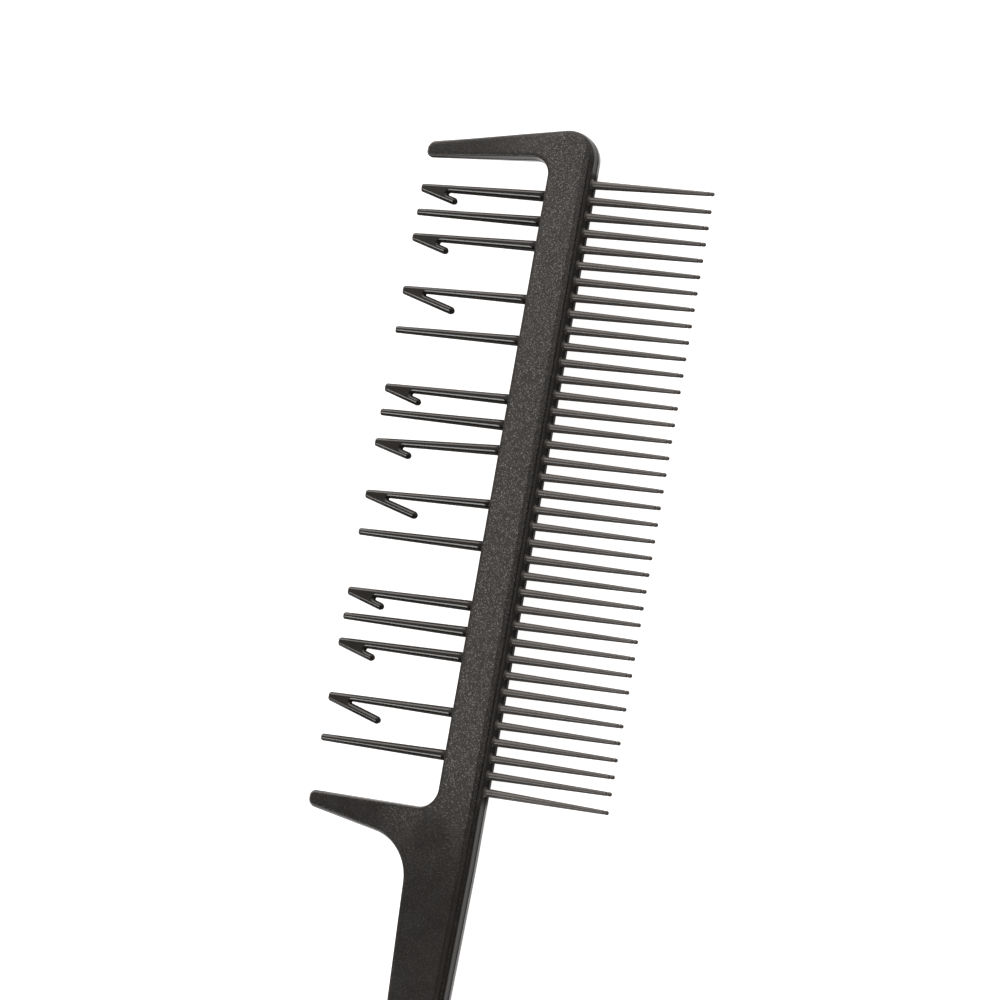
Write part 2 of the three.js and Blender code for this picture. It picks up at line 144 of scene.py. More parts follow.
# The tooth's wall below the bevel, down to a parting line that stands slightly proud: share of the
# draft outside the outline, and height above the parting plane.
WALL_SECTION = [(1.0, 0.12), (1.3, 0.05), (1.3, 0.0)]
FACET_DROP = (0.0, 0.2)  # drops between which the section is the facet, painted lighter as a highlight line
WALL_DROP = 0.7  # drop from which the section is wall
HOOK_TIP_RADIUS = 0.4
BARB_SLOPE = 0.305
HOOKS = {
    "short_hook": {
        "root_upper": 0.8,
        "tip_upper": 0.46,
        "root_lower": 0.8,
        "notch_lower": 0.6,
        "tip_lower": 0.72,
        "barb_width": 1.01,
        "barb_reach": 6.8,
        "notch_radius": 0.36,
    },
    "long_hook": {
        "root_upper": 0.72,
        "tip_upper": 0.42,
        "root_lower": 0.74,
        "notch_lower": 0.5,
        "tip_lower": 0.82,
        "barb_width": 1.1,
        "barb_reach": 9.95,
        "notch_radius": 0.27,
    },
}
ROOT_OVERLAP = 0.3  # teeth start this far inside the spine, so that no gap shows
WALL_SHARE = 0.9  # a tooth's face gets the wall material, in painted shade, when all its corners are at least this much wall

BODY_NODES = ["upper_guard", "spine", "lower_guard", "tail_handle"]

# ---- The comb's axes in the shared frame ----
spine_low, spine_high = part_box("spine")
ORIGIN = Vector(
    (
        spine_low.x - SPINE_LEFT / 1000,
        (spine_low.y + spine_high.y) / 2,
        (spine_low.z + spine_high.z) / 2,
    )
)


def point(x, y, z):
    """A point of the comb's own axes, in millimetres, as metres in the shared frame."""
    return ORIGIN + Vector((x, y, z)) / 1000


def lerp(a, b, t):
    return a + (b - a) * t


def smoothstep(low, high, value):
    t = min(1.0, max(0.0, (value - low) / (high - low)))
    return t * t * (3 - 2 * t)


def table_value(table, x):
    """Linear interpolation in a list of (x, value) pairs."""
    for (x0, v0), (x1, v1) in zip(table, table[1:]):
        if x <= x1:
            return lerp(v0, v1, (x - x0) / (x1 - x0))
    return table[-1][1]


# ---- Camera: above the fine-toothed side, looking down on the upper face ----
CAMERA_PLACE = (218.67, -86.7, 570.4)
CAMERA_TURN = (11.4477, 19.5319, 10.5818)  # degrees about X, Y and Z
CAMERA_LENS = 128.61

camera = bpy.data.objects.new("camera", bpy.data.cameras.new("camera"))
camera.data.type = "PERSP"
camera.data.sensor_width = 36
camera.data.lens = CAMERA_LENS
camera.data.clip_start = 0.01
camera.data.clip_end = 50
camera.location = point(*CAMERA_PLACE)
camera.rotation_euler = Euler([math.radians(a) for a in CAMERA_TURN], "XYZ")
bpy.context.scene.collection.objects.link(camera)
bpy.context.scene.camera = camera


# ---- Plane outlines ----
def v2(x, y):
    return Vector((x, y))


def arc(centre, radius, start, end, steps):
    """Points on a circle from one angle to another, ends included."""
    points = []
    for i in range(steps + 1):
        a = lerp(start, end, i / steps)
        points.append(v2(centre.x + radius * math.cos(a), centre.y + radius * math.sin(a)))
    return points


def round_corner(a, b, c, radius, steps):
    """The arc that rounds the corner at b between the lines a-b and b-c."""
    to_a = (a - b).normalized()
    to_c = (c - b).normalized()
    half = math.acos(max(-1.0, min(1.0, to_a.dot(to_c)))) / 2
    centre = b + (to_a + to_c).normalized() * (radius / math.sin(half))
    start = b + to_a * (radius / math.tan(half)) - centre
    end = b + to_c * (radius / math.tan(half)) - centre
    first = math.atan2(start.y, start.x)
    sweep = math.atan2(end.y, end.x) - first
    sweep = (sweep + math.pi) % (2 * math.pi) - math.pi
    return arc(centre, radius, first, first + sweep, steps)


def bezier(a, b, c, steps):
    """Points of a quadratic curve, ends included."""
    ts = [i / steps for i in range(steps + 1)]
    return [a * (1 - t) ** 2 + b * 2 * t * (1 - t) + c * t * t for t in ts]


def without_repeats(points):
    """The outline without points that stand on the point before them."""
    return [p for i, p in enumerate(points) if (p - points[i - 1]).length > 1e-4]


def subdivide(points, longest):
    """Extra points along the long straight stretches of a closed outline."""
    out = []
    for i, p in enumerate(points):
        q = points[(i + 1) % len(points)]
        parts = max(1, math.ceil((q - p).length / longest))
        out += [p.lerp(q, k / parts) for k in range(parts)]
    return out


def inset_steps(points, root_x=None):
    """Each point's step inwards for a unit inset of a counter-clockwise outline. Along the line
    x = root_x, where a tooth enters the spine, points only slide along that line."""
    steps = []
    n = len(points)
    for i, p in enumerate(points):
        before = points[i - 1]
        after = points[(i + 1) % n]
        d1 = (p - before).normalized()
        d2 = (after - p).normalized()
        n1 = v2(-d1.y, d1.x)
        n2 = v2(-d2.y, d2.x)
        on_root = [root_x is not None and abs(q.x - root_x) < 1e-6 for q in (before, p, after)]
        if all(on_root):
            steps.append(v2(0, 0))
            continue
        if on_root[1]:
            free = n2 if on_root[0] else n1
            steps.append(v2(0, 1 / free.y))
            continue
        mid = (n1 + n2).normalized()
        steps.append(mid / max(0.35, mid.dot(n1)))
    return steps


# ---- Outline of the body: head, spine and tail in one loop, counter-clockwise ----
TAIL_CAP_Y = HEAD_TOP_Y - OVERALL_LENGTH + TAIL_END_RADIUS
TAIL_RIGHT = [
    v2(SPINE_RIGHT, TAIL_START_RIGHT["y"]),
    v2(
        SPINE_RIGHT - TAIL_GUIDE_DROP * TAIL_START_RIGHT["lean"],
        TAIL_START_RIGHT["y"] - TAIL_GUIDE_DROP,
    ),
    v2(TAIL_END_X + TAIL_END_RADIUS, TAIL_CAP_Y),
]


def right_edge(y):
    """Where the right wall runs at a height along the comb."""
    top, bend, end = TAIL_RIGHT
    if y >= top.y:
        return SPINE_RIGHT
    a = top.y - 2 * bend.y + end.y
    b = 2 * (bend.y - top.y)
    c = top.y - max(y, end.y)
    t = (-b - math.sqrt(b * b - 4 * a * c)) / (2 * a)
    return top.x * (1 - t) ** 2 + bend.x * 2 * t * (1 - t) + end.x * t * t


def body_outline():
    tail_end = v2(TAIL_END_X, TAIL_CAP_Y)
    right_curve = bezier(*TAIL_RIGHT, 40)

    guard_corner = v2(-LEFT_REACH, LOWER_GUARD_OUTER["tip_y"])
    rise = LOWER_GUARD_OUTER["slope"] * (TAIL_START_LEFT["x"] + LEFT_REACH)
    crossing = v2(TAIL_START_LEFT["x"], LOWER_GUARD_OUTER["tip_y"] + rise)
    left_low = v2(
        TAIL_START_LEFT["x"] + TAIL_GUIDE_DROP * TAIL_START_LEFT["lean"],
        crossing.y - TAIL_GUIDE_DROP,
    )
    sweep = round_corner(guard_corner, crossing, left_low, SHOULDER_RADIUS, 28)
    left_end = v2(TAIL_END_X - TAIL_END_RADIUS, TAIL_CAP_Y)
    left_curve = bezier(sweep[-1], left_low, left_end, 40)

    spine_middle = v2(SPINE_LEFT, 0)
    lower_tip = v2(-LEFT_REACH, LOWER_GUARD_INNER_Y)
    lower_root = v2(SPINE_LEFT, LOWER_GUARD_INNER_Y)
    outer_radius, inner_radius = GUARD_TIP_RADIUS["outer"], GUARD_TIP_RADIUS["inner"]
    lower_end = round_corner(crossing, guard_corner, lower_tip, outer_radius, 9)
    lower_end += round_corner(guard_corner, lower_tip, lower_root, inner_radius, 7)
    lower_fillet = round_corner(lower_tip, lower_root, spine_middle, LOWER_GUARD_FILLET, 20)

    corner_centre = v2(SPINE_RIGHT - HEAD_CORNER_RADIUS, HEAD_TOP_Y - HEAD_CORNER_RADIUS)
    tangent = math.pi / 2 + math.atan(UPPER_GUARD_EDGE_SLOPE)
    corner = arc(corner_centre, HEAD_CORNER_RADIUS, 0, tangent, 28)
    crown = corner[-1]
    outer_tip = v2(-LEFT_REACH, crown.y - UPPER_GUARD_EDGE_SLOPE * (crown.x + LEFT_REACH))
    inner_tip = v2(-LEFT_REACH, UPPER_GUARD_INNER["tip_y"])
    inner_root = v2(SPINE_LEFT, UPPER_GUARD_INNER["root_y"])
    upper_end = round_corner(crown, outer_tip, inner_tip, outer_radius, 9)
    upper_end += round_corner(outer_tip, inner_tip, inner_root, inner_radius, 7)
    fillet = UPPER_GUARD_INNER["fillet"]
    upper_fillet = round_corner(inner_tip, inner_root, spine_middle, fillet, 20)

    loop = corner + upper_end + upper_fillet + lower_fillet[::-1] + lower_end[::-1] + sweep
    loop += left_curve[1:-1]
    loop += arc(tail_end, TAIL_END_RADIUS, math.pi, 2 * math.pi, 24)
    loop += right_curve[::-1][1:]
    return without_repeats(loop)


# ---- The body's surface ----
def straightened(p):
    """Plan position with the tail's curved right edge pulled straight, so that the step and the
    margin run along it."""
    return v2(p.x + SPINE_RIGHT - right_edge(p.y), p.y)


def bent_back(p):
    return v2(p.x - SPINE_RIGHT + right_edge(p.y), p.y)


def face_height(x, y):
    """Half thickness at a straightened plan position."""
    thin = lerp(
        TAIL_END_HALF_THICKNESS,
        FACE_HALF_THICKNESS,
        smoothstep(HEAD_TOP_Y - OVERALL_LENGTH, TAIL_THIN_FROM_Y, y),
    )
    return table_value(FACE_PROFILE, x) - (FACE_HALF_THICKNESS - thin)


def edge_radius(x, height, out, margin_radius):
    """Rounding at the outline: wide where it faces the fine teeth, small elsewhere."""
    faces_right = smoothstep(0.25, 0.9, out.normalized().x)
    wide = lerp(EDGE_RADIUS, margin_radius, faces_right)
    return min(wide, 0.6 * height)


def boundary_loop(bm):
    """The vertices round the open edge of a flat sheet, in counter-clockwise order."""
    follow = {}
    for edge in bm.edges:
        if len(edge.link_faces) == 1:
            loop = edge.link_loops[0]
            follow[loop.vert] = loop.link_loop_next.vert
    start = next(iter(follow))
    ring = [start]
    while follow[ring[-1]] is not start:
        ring.append(follow[ring[-1]])
    return ring


def cut_lines(bm, values, normal):
    """Cuts the flat sheet along straight lines across one direction."""
    for value in values:
        bmesh.ops.bisect_plane(
            bm,
            geom=bm.verts[:] + bm.edges[:] + bm.faces[:],
            plane_co=normal * value,
            plane_no=normal,
            dist=1e-5,
        )


def grain_depth(x, y):
    """How deep the grain is: full on the spine, faint along the guards and the tail."""
    along_guard = lerp(FAINT_GRAIN["guards"], 1.0, smoothstep(*GRAIN_FADE["guards"], x))
    return min(along_guard, lerp(FAINT_GRAIN["tail"], 1.0, smoothstep(*GRAIN_FADE["tail"], y)))


def body_half(side_name):
    """The body from its parting plane up to one face, which lies on the +Z side."""
    margin_radius, draft = MARGIN_RADIUS[side_name], DRAFT[side_name]
    slack = DRAFT["upper"] - draft
    outline = subdivide(body_outline(), 1.6)
    steps = inset_steps(outline)
    inner = [straightened(p + s * FACE_INSET) for p, s in zip(outline, steps)]
    bm = bmesh.new()
    bm.faces.new([bm.verts.new((p.x, p.y, 0)) for p in inner])
    cut_lines(bm, FACE_CUTS_X, Vector((1, 0, 0)))
    cut_lines(bm, FACE_CUTS_Y, Vector((0, 1, 0)))

    # The sheet's own points: height from the profile, grain from the distance to the step.
    grain = bm.verts.layers.float.new("grain")
    edge = bm.verts.layers.float.new("edge")
    parting_groove = bm.verts.layers.float.new("parting_groove")
    wall = bm.verts.layers.float.new("wall")
    ring = boundary_loop(bm)
    plan = {}
    for v in bm.verts:
        x, y = v.co.x, v.co.y
        plan[v] = bent_back(v2(x, y))
        share = lerp(1.0, MARGIN_GRAIN, smoothstep(STEP_X - 0.2, STEP_X + 0.3, x))
        v[grain] = share * grain_depth(x, y)
        v.co = (plan[v].x, plan[v].y, face_height(x, y))

    base = [plan[v] for v in ring]
    outward = [-s for s in inset_steps(base)]

    def rounding(i, angle):
        """A point of the rounded edge, from 0 on the face to a quarter turn on the wall."""
        p, out = base[i], outward[i]
        flat = straightened(p + out * FACE_INSET)
        height = face_height(flat.x, flat.y)
        radius = edge_radius(flat.x, height, out, margin_radius)
        side = p + out * (FACE_INSET + slack * math.sin(angle) - radius * (1 - math.sin(angle)))
        return side, height - radius * (1 - math.cos(angle))

    turn_steps = 6
    levels = [("round", math.pi / 2 * k / turn_steps) for k in range(turn_steps + 1)]
    levels += [("wall", 0.5), ("wall", 0.94), ("wall", 1.0), ("groove", 0.5), ("groove", 1.0)]
    rows = [ring]
    for kind, amount in levels:
        row = []
        for i in range(len(ring)):
            side, z = rounding(i, amount if kind == "round" else math.pi / 2)
            if kind == "wall":
                side = side + outward[i] * draft * amount
                z = lerp(z, PARTING_HALF_HEIGHT, amount)
            elif kind == "groove":
                side = side + outward[i] * (draft - PARTING_DEPTH * amount)
                z = PARTING_HALF_HEIGHT * (1 - amount)
            v = bm.verts.new((side.x, side.y, z))
            v[grain] = EDGE_GRAIN if kind == "round" and amount < 0.6 else 0.0
            v[edge] = 1.0 if kind == "round" and 0 < amount < math.pi / 2 else 0.0
            v[parting_groove] = 1.0 if kind == "groove" else 0.0
            v[wall] = 1.0 if abs(base[i].y) < TEETH_SPAN and base[i].x > 0 else 0.0
            row.append(v)
        rows.append(row)
    for inside, outside in zip(rows, rows[1:]):
        n = len(ring)
        for i in range(n):
            j = (i + 1) % n
            bm.faces.new((inside[i], outside[i], outside[j], inside[j]))
    lip = rows[-3]  # the wall's foot, a sharp edge where the parting line begins
    for i, v in enumerate(lip):
        bm.edges.get((v, lip[i - 1])).smooth = False
    return bm


def body_mesh():
    upper = body_half("upper")
    under = body_half("under")
    for v in under.verts:
        v.co.z = -v.co.z
    bmesh.ops.reverse_faces(under, faces=under.faces[:])
    holder = bpy.data.meshes.new("under")
    under.to_mesh(holder)
    under.free()
    upper.from_mesh(holder)
    bpy.data.meshes.remove(holder)
    weld_halves(upper)
    return upper


def weld_halves(bm):
    """Joins the upper and the lower half along the parting plane."""
    seam = [v for v in bm.verts if abs(v.co.z) < 1e-6]
    bmesh.ops.remove_doubles(bm, verts=seam, dist=1e-5)
    bmesh.ops.recalc_face_normals(bm, faces=bm.faces[:])


def close_below(bm):
    """Adds the mirror image below the parting plane and joins the two halves there."""
    copy = bmesh.ops.duplicate(bm, geom=bm.verts[:] + bm.edges[:] + bm.faces[:])["geom"]
    for v in (g for g in copy if isinstance(g, bmesh.types.BMVert)):
        v.co.z = -v.co.z
    bmesh.ops.reverse_faces(bm, faces=[g for g in copy if isinstance(g, bmesh.types.BMFace)])
    weld_halves(bm)


# ---- Teeth ----
def tooth_thickness(x):
    return lerp(TOOTH_ROOT_HALF_THICKNESS, TOOTH_TIP_HALF_THICKNESS, max(0.0, x) / TOOTH_LENGTH)


def tooth_bevel(x):
    return lerp(TOOTH_BEVEL["root"], TOOTH_BEVEL["tip"], max(0.0, x) / TOOTH_LENGTH)


def plate_tooth(outline):
    """A bevelled plate tooth from its plan outline, along +X from the root."""
    outline = without_repeats(outline)
    steps = inset_steps(outline, -ROOT_OVERLAP)
    bm = bmesh.new()
    edge = bm.verts.layers.float.new("edge")
    wall = bm.verts.layers.float.new("wall")
    rows = []
    for share, drop in BEVEL_SECTION:
        row = []
        for p, s in zip(outline, steps):
            bevel = tooth_bevel(p.x)
            q = p + s * (share * bevel)
            v = bm.verts.new((q.x, q.y, tooth_thickness(q.x) - drop * bevel))
            # The facet's rows are marked for the painted highlight line.
            v[edge] = 1.0 if FACET_DROP[0] < drop < FACET_DROP[1] else 0.0
            v[wall] = 1.0 if drop > WALL_DROP else 0.0
            row.append(v)
        rows.append(row)
    for out, z in WALL_SECTION:
        row = []
        for p, s in zip(outline, steps):
            q = p - s * (TOOTH_DRAFT * out)
            v = bm.verts.new((q.x, q.y, z))
            v[wall] = 1.0
            row.append(v)
        rows.append(row)
    bm.faces.new(rows[0])
    for inside, outside in zip(rows, rows[1:]):
        n = len(outline)
        for i in range(n):
            j = (i + 1) % n
            bm.faces.new((inside[i], outside[i], outside[j], inside[j]))
    close_below(bm)
    return bm


def pin_outline(lean):
    root, tip = PIN["root_half_width"], PIN["tip_half_width"]
    start = -ROOT_OVERLAP
    spread = root - (tip - root) * start / TOOTH_LENGTH
    corners = [
        v2(start, -spread),
        v2(TOOTH_LENGTH, -tip),
        v2(TOOTH_LENGTH, tip),
        v2(start, spread),
    ]
    points = [corners[0]]
    points += round_corner(corners[0], corners[1], corners[2], PIN["tip_radius"], 8)
    points += round_corner(corners[1], corners[2], corners[3], PIN["tip_radius"], 8)
    points.append(corners[3])
    return leaned(points, lean)


def leaned(points, lean):
    """The outline with its tip shifted sideways by the lean."""
    points = subdivide(points, 1.5)
    for p in points:
        p.y += lean * max(0.0, p.x) / TOOTH_LENGTH
    return points


def hook_outline(shape, lean):
    """A shank, a blunt tip, and a barb that runs back along the shank's lower side."""
    reach = TOOTH_LENGTH
    start = -ROOT_OVERLAP
    upper_root = v2(start, -shape["root_upper"])
    upper_tip = v2(reach, -shape["tip_upper"])
    lower_tip = v2(reach, shape["tip_lower"])
    back = v2(-1, BARB_SLOPE).normalized()
    inward = v2(-back.y, back.x)
    run = shape["barb_reach"] / -back.x
    width = shape["barb_width"]
    barb_end = lower_tip + back * (run - width / 2)
    end_centre = barb_end + inward * (width / 2)
    inner_end = barb_end + inward * width
    lower_root = v2(start, shape["root_lower"])
    shank_slope = (shape["notch_lower"] - shape["root_lower"]) / (reach - 5)
    shank = v2(1, shank_slope)
    gap = v2(0, shape["root_lower"]) - inner_end
    cross = back.x * shank.y - back.y * shank.x
    notch = inner_end + back * ((gap.x * shank.y - gap.y * shank.x) / cross)
    first = math.atan2(-inward.y, -inward.x)

    points = [upper_root]
    points += round_corner(upper_root, upper_tip, lower_tip, HOOK_TIP_RADIUS, 8)
    points += round_corner(upper_tip, lower_tip, barb_end, HOOK_TIP_RADIUS, 8)
    points += arc(end_centre, width / 2, first, first + math.pi, 14)
    points += round_corner(inner_end, notch, lower_root, shape["notch_radius"], 12)
    points.append(lower_root)
    return leaned(points, lean)


def fine_section(x):
    """Half width and half height of a fine tooth at a distance from the spine."""
    ball_centre = FINE_LENGTH - FINE_BALL_RADIUS
    t = min(1.0, max(0.0, x) / ball_centre)
    width = lerp(FINE_ROOT["half_width"], FINE_TIP["half_width"], t)
    height = lerp(FINE_ROOT["half_height"], FINE_TIP["half_height"], t)
    flare = FINE_ROOT["flare"]
    if x < flare:
        swell = flare - math.sqrt(max(0.0, flare**2 - (flare - max(0.0, x)) ** 2))
        width += swell
        height += 0.3 * swell
    into_neck = abs(x - (FINE_LENGTH - FINE_NECK["before_tip"])) / FINE_NECK["reach"]
    if into_neck < 1:
        dip = FINE_NECK["shrink"] * 0.5 * (1 + math.cos(math.pi * into_neck))
        width -= dip
        height -= 1.4 * dip
    near = smoothstep(FINE_LENGTH - FINE_NECK["before_tip"], ball_centre, x)
    height = lerp(height, width, near)
    if x > ball_centre:
        cap = math.sqrt(max(0.0, FINE_BALL_RADIUS**2 - (x - ball_centre) ** 2))
        width = cap
        height = cap
    return width, height


def fine_tooth(splay):
    """A slim tapering tooth of superelliptic section with a small ball at its tip."""
    around = 28
    flare = FINE_ROOT["flare"]
    places = [-ROOT_OVERLAP] + [flare * (k / 6) ** 1.6 for k in range(7)]
    places += [lerp(flare, FINE_LENGTH - 1.2, k / 18) for k in range(1, 19)]
    ball_centre = FINE_LENGTH - FINE_BALL_RADIUS
    places += [lerp(FINE_LENGTH - 1.2, ball_centre, k / 12) for k in range(1, 13)]
    places += [ball_centre + FINE_BALL_RADIUS * math.sin(math.pi / 2 * k / 8) for k in range(1, 8)]
    bm = bmesh.new()
    wall = bm.verts.layers.float.new("wall")
    rows = []
    for x in places:
        width, height = fine_section(x)
        square = lerp(FINE_SQUARENESS, 1.0, smoothstep(FINE_LENGTH - 3, FINE_LENGTH - 0.7, x))
        row = []
        for k in range(around):
            a = 2 * math.pi * k / around
            c, s = math.cos(a), math.sin(a)
            side = math.copysign(abs(c) ** square, c) * width
            up = math.copysign(abs(s) ** square, s) * height
            v = bm.verts.new((x, splay * max(0.0, x) / FINE_LENGTH + side, up))
            # The sides are marked as wall and take the material in painted shade.
            v[wall] = smoothstep(0.8, 0.9, abs(c))
            row.append(v)
        rows.append(row)
    tip = bm.verts.new((FINE_LENGTH, splay, 0))
    for low, high in zip(rows, rows[1:]):
        for i in range(around):
            j = (i + 1) % around
            bm.faces.new((low[i], low[j], high[j], high[i]))
    for i in range(around):
        bm.faces.new((rows[-1][i], rows[-1][(i + 1) % around], tip))
    bm.faces.new(rows[0][::-1])
    bmesh.ops.recalc_face_normals(bm, faces=bm.faces[:])
    return bm


# ---- Materials ----
class Nodes:
    """Short calls for building one material's node tree."""

    def __init__(self, name):
        self.material = bpy.data.materials.new(name)
        self.material.use_nodes = True
        self.tree = self.material.node_tree
        self.shader = self.tree.nodes["Principled BSDF"]

    def add(self, kind, **inputs):
        node = self.tree.nodes.new(kind)
        self.feed(node, inputs)
        return node

    def feed(self, node, inputs):
        for name, value in inputs.items():
            socket = node.inputs[name.replace("_", " ")]
            if isinstance(value, bpy.types.NodeSocket):
                self.tree.links.new(value, socket)
            else:
                socket.default_value = value

    def noise(self, vector, scale, detail=2.0, roughness=0.5):
        node = self.add("ShaderNodeTexNoise", Scale=scale, Detail=detail, Roughness=roughness)
        self.tree.links.new(vector, node.inputs["Vector"])
        return node.outputs["Fac"]

    def cells(self, vector, scale):
        """Distance to the nearest of many random points, and a random value for that point."""
        node = self.add("ShaderNodeTexVoronoi", Scale=scale)
        self.tree.links.new(vector, node.inputs["Vector"])
        shade = self.add("ShaderNodeSeparateColor", Color=node.outputs["Color"])
        return node.outputs["Distance"], shade.outputs["Red"]

    def math(self, operation, a, b=0.0, clamp=False):
        node = self.tree.nodes.new("ShaderNodeMath")
        node.operation = operation
        node.use_clamp = clamp
        for socket, value in zip(node.inputs, (a, b)):
            if isinstance(value, bpy.types.NodeSocket):
                self.tree.links.new(value, socket)
            else:
                socket.default_value = value
        return node.outputs[0]

    def range(self, value, low, high, to_low=0.0, to_high=1.0, smooth=False):
        node = self.tree.nodes.new("ShaderNodeMapRange")
        node.interpolation_type = "SMOOTHSTEP" if smooth else "LINEAR"
        self.tree.links.new(value, node.inputs["Value"])
        for name, number in (
            ("From Min", low),
            ("From Max", high),
            ("To Min", to_low),
            ("To Max", to_high),
        ):
            node.inputs[name].default_value = number
        return node.outputs["Result"]

    def mix(self, factor, a, b):
        node = self.tree.nodes.new("ShaderNodeMix")
        node.data_type = "RGBA"
        for socket, value in ((node.inputs[0], factor), (node.inputs[6], a), (node.inputs[7], b)):
            if isinstance(value, bpy.types.NodeSocket):
                self.tree.links.new(value, socket)
            else:
                socket.default_value = value
        return node.outputs[2]

    def attribute(self, name):
        node = self.tree.nodes.new("ShaderNodeAttribute")
        node.attribute_name = name
        return node.outputs["Fac"]

    def place(self, stretch=(1, 1, 1)):
        """Object coordinates, which are metres in the shared frame, stretched along the axes."""
        where = self.tree.nodes.new("ShaderNodeTexCoord").outputs["Object"]
        if stretch == (1, 1, 1):
            return where
        node = self.add("ShaderNodeMapping", Scale=stretch)
        self.tree.links.new(where, node.inputs["Vector"])
        return node.outputs["Vector"]

    def distance(self, where, centre):
        """How far a place is from one fixed point."""
        node = self.tree.nodes.new("ShaderNodeVectorMath")
        node.operation = "DISTANCE"
        self.tree.links.new(where, node.inputs[0])
        node.inputs[1].default_value = centre
        return node.outputs["Value"]

    def bump(self, height, distance, strength=1.0, normal=None):
        node = self.add("ShaderNodeBump", Strength=strength, Distance=distance)
        self.tree.links.new(height, node.inputs["Height"])
        if normal is not None:
            self.tree.links.new(normal, node.inputs["Normal"])
        return node.outputs["Normal"]


def brown_black(value):
    """A near-black plastic tone with a touch of brown."""
    return (value * 1.16, value, value * 0.86, 1)


def grained_plastic():
    """Black plastic with a fine moulded grain on its faces and smooth walls, and painted glints on
    the grain's peaks.
    """
    m = Nodes("grained_plastic")
    where = m.place()
    pushed = m.distance(where, point(*EJECTOR_MARK["centre"]))
    mark = m.range(pushed, *EJECTOR_MARK["fade"], EJECTOR_MARK["grain"], 1.0, smooth=True)
    grain_mask = m.math("MULTIPLY", m.attribute("grain"), mark)
    edge_mask = m.attribute("edge")
    groove_shade_mask = m.attribute("parting_groove")
    wall_mask = m.attribute("wall")
    middle, chance = m.cells(where, 3900)
    fine = m.noise(where, 4100, 3.0, 0.65)
    coarse = m.noise(where, 1500, 2.0, 0.5)
    cloud = m.noise(where, 60, 3.0, 0.55)
    drift = m.noise(where, 380, 2.0)
    dots = m.range(middle, 0.1, 0.6, 1.0, 0.0)
    pebbles = m.math("MULTIPLY", m.math("ADD", dots, m.range(chance, 0.0, 1.0, 0.0, 0.5)), 0.4)
    pebbles = m.math("ADD", pebbles, m.range(fine, 0.3, 0.7, 0.0, 0.8))
    masked = m.math("MULTIPLY", pebbles, grain_mask)
    normal = m.bump(masked, 0.00005, 1.0)
    normal = m.bump(drift, 0.00001, 0.4, normal)
    tone = m.mix(m.range(cloud, 0.35, 0.65), brown_black(0.007), brown_black(0.01))
    # Painted glints: the grain's peaks get a lighter colour, standing in for the light they catch.
    painted_glints = m.math("MULTIPLY", m.range(pebbles, 0.62, 1.06, smooth=True), grain_mask)
    tone = m.mix(painted_glints, tone, (0.16, 0.143, 0.13, 1))
    tone = m.mix(m.math("MULTIPLY", edge_mask, 0.2), tone, brown_black(0.024))
    # Painted shade: the parting-line groove is coloured near-black.
    tone = m.mix(groove_shade_mask, tone, brown_black(0.003))
    rough = m.range(coarse, 0.3, 0.7, 0.32, 0.42)
    smooth_rough = m.range(drift, 0.3, 0.7, 0.2, 0.27)
    rough = m.math("MULTIPLY", rough, grain_mask)
    rest = m.math("MULTIPLY", smooth_rough, m.math("SUBTRACT", 1.0, grain_mask))
    dull = m.math("MULTIPLY", m.math("MAXIMUM", groove_shade_mask, wall_mask), 0.6)
    rough = m.math("ADD", m.math("ADD", rough, rest), dull, clamp=True)
    m.feed(m.shader, {"Base_Color": tone, "Normal": normal, "Roughness": rough})
    m.shader.inputs["IOR"].default_value = 1.5
    m.shader.inputs["Specular IOR Level"].default_value = 0.42
    return m.material


def polished_plastic(name, tones, roughness):
    """Black plastic from a polished cavity: satin gloss with faint draw lines along the teeth."""
    m = Nodes(name)
    where = m.place()
    along = m.place((90, 2600, 2600))
    edge_mask = m.attribute("edge")
    wall_mask = m.attribute("wall")
    cloud = m.noise(where, 220, 3.0, 0.5)
    lines = m.noise(along, 1.0, 2.0, 0.5)
    fine = m.noise(where, 3200, 2.0, 0.6)
    normal = m.bump(lines, 0.000012, 0.5)
    normal = m.bump(fine, 0.000006, 0.5, normal)
    low, high = tones
    tone = m.mix(m.range(cloud, 0.35, 0.65), brown_black(low), brown_black(high))
    # Painted highlight: the facet between a tooth's flat top and its bevel gets a lighter colour.
    tone = m.mix(m.math("MULTIPLY", edge_mask, 0.3), tone, brown_black(high * 1.7))
    rough = m.range(lines, 0.3, 0.7, *roughness)
    rough = m.math("ADD", rough, m.math("MULTIPLY", wall_mask, 0.6), clamp=True)
    m.feed(m.shader, {"Base_Color": tone, "Normal": normal, "Roughness": rough})
    m.shader.inputs["IOR"].default_value = 1.5
    return m.material


def wall_shade_plastic():
    """The teeth's drafted walls in painted shade: black plastic with its reflection almost turned
    off, darker than the fine teeth's tops.
    """
    m = Nodes("wall_plastic_painted_shade")
    where = m.place()
    cloud = m.noise(where, 300, 3.0, 0.5)
    fine = m.noise(where, 3600, 2.0, 0.5)
    tone = m.mix(m.range(cloud, 0.35, 0.65), brown_black(0.009), brown_black(0.014))
    normal = m.bump(fine, 0.00002, 0.6)
    rough = m.range(fine, 0.3, 0.7, 0.55, 0.7)
    m.feed(m.shader, {"Base_Color": tone, "Normal": normal, "Roughness": rough})
    # Painted shade: the walls reflect almost nothing.
    m.shader.inputs["Specular IOR Level"].default_value = 0.05
    return m.material


